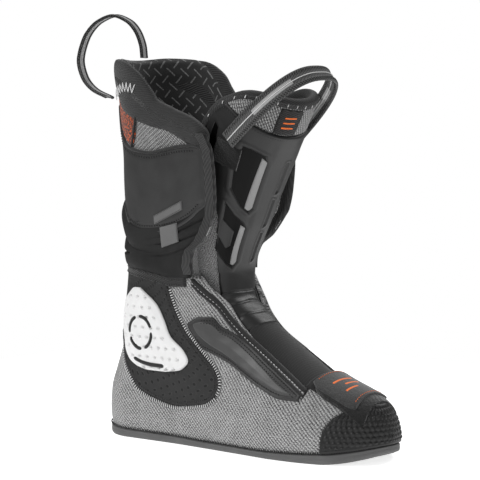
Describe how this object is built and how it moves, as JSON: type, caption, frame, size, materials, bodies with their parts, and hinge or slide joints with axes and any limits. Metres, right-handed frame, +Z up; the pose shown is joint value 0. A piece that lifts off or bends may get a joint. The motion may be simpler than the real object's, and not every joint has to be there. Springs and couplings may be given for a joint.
{
  "type": "ski boot liner",
  "caption": "Right soft inner boot of a ski boot: padded cuff that bends at the ankle, fold-out tongue with shield, pull loops, flat sole.",
  "frame": {"origin": "on the flat underside of the sole, under the middle of the foot, on the boot's middle plane", "axes": "+X towards the toe, +Y towards the medial (inner) side of this right boot, +Z up the leg"},
  "size_m": [0.3193, 0.1156, 0.3621],
  "materials": {
    "sole_rubber": "matt moulded",
    "board": "needled fibre board",
    "footbed_foam": "brushed cloth on foam",
    "knit": "grey melange knit with slanting ribs",
    "lining": "dark brushed lining with a printed line grid",
    "toe_rubber": "dimpled matt",
    "heel_grip": "perforated matt",
    "white_foam": "moulded foam with dimples",
    "smooth_pu": "smooth coated cloth, fine grain",
    "piping": "folded woven binding",
    "elastic": "ribbed elastic cloth",
    "neoprene": "stretch neoprene",
    "tab_felt": "felt",
    "shield_plastic": "moulded, satin",
    "window_mesh": "black mesh film",
    "insert_grey": "moulded",
    "orange": "mesh under print",
    "label_grey": "woven label",
    "webbing": "ribbed webbing with a pale centre stripe"
  },
  "bodies": {
    "foot": {"outsole": "sole_rubber", "insole_board": "board", "footbed": "footbed_foam", "foot_shell_lateral": "knit", "foot_shell_medial": "knit", "foot_lining_lateral": "lining", "foot_lining_medial": "lining", "toe_cap": "toe_rubber", "heel_patch": "heel_grip", "ankle_pad_lateral": "white_foam", "ankle_pad_medial": "white_foam", "forefoot_overlay_lateral": "smooth_pu", "forefoot_overlay_medial": "smooth_pu", "throat_piping_lateral": "piping", "throat_piping_medial": "piping", "ankle_band": "smooth_pu", "instep_elastic": "elastic", "toe_tab_backing": "elastic", "toe_tab": "tab_felt"},
    "cuff": {"ankle_flex": "neoprene", "gusset_lateral": "knit", "gusset_medial": "knit", "cuff_shell": "knit", "cuff_lining": "lining", "collar_roll": "lining", "cuff_overlay_lateral": "smooth_pu", "cuff_overlay_medial": "smooth_pu", "front_binding_lateral": "piping", "front_binding_medial": "piping", "rear_panel_lateral": "orange", "rear_panel_medial": "orange", "side_label": "label_grey"},
    "tongue": {"tongue_pad": "neoprene", "tongue_lining": "lining", "tongue_shield": "shield_plastic", "shield_windows": "window_mesh", "shield_inserts": "insert_grey", "tongue_knit": "knit", "badge_strip": "piping", "tongue_binding": "piping", "hook_patch": "elastic", "tongue_flex": "neoprene"},
    "tongue_loop": {"tongue_loop": "webbing"},
    "rear_loop": {"rear_loop": "webbing"},
    "size_tab": {"size_tab": "label_grey"}
  },
  "joints": [
    {"name": "cuff_flex", "type": "hinge", "parent": "foot", "child": "cuff", "pos_m": [-0.065, 0, 0.147], "axis": [0, 1, 0], "range_deg": [-8, 12], "stiffness_Nm_per_rad": 4, "deforming": ["ankle_flex", "gusset_lateral", "gusset_medial"]},
    {"name": "tongue_fold", "type": "hinge", "parent": "foot", "child": "tongue", "pos_m": [-0.006, 0, 0.108], "axis": [0, 1, 0], "range_deg": [-8, 42], "stiffness_Nm_per_rad": 1.5, "deforming": ["tongue_flex"]},
    {"name": "tongue_loop_swing", "type": "hinge", "parent": "tongue", "child": "tongue_loop", "pos_m": [0.01, 0, 0.258], "axis": [0, 1, 0], "range_deg": [0, 60], "stiffness_Nm_per_rad": 0.05},
    {"name": "rear_loop_swing", "type": "hinge", "parent": "cuff", "child": "rear_loop", "pos_m": [-0.129, 0.013, 0.322], "axis": [0.1629, 0.7537, 0.6367], "range_deg": [-35, 24], "stiffness_Nm_per_rad": 0.05},
    {"name": "size_tab_flip", "type": "hinge", "parent": "cuff", "child": "size_tab", "pos_m": [-0.0505, -0.0488, 0.1872], "axis": [-0.9707, 0, -0.2402], "range_deg": [0, 75], "stiffness_Nm_per_rad": 0.01}
  ]
}
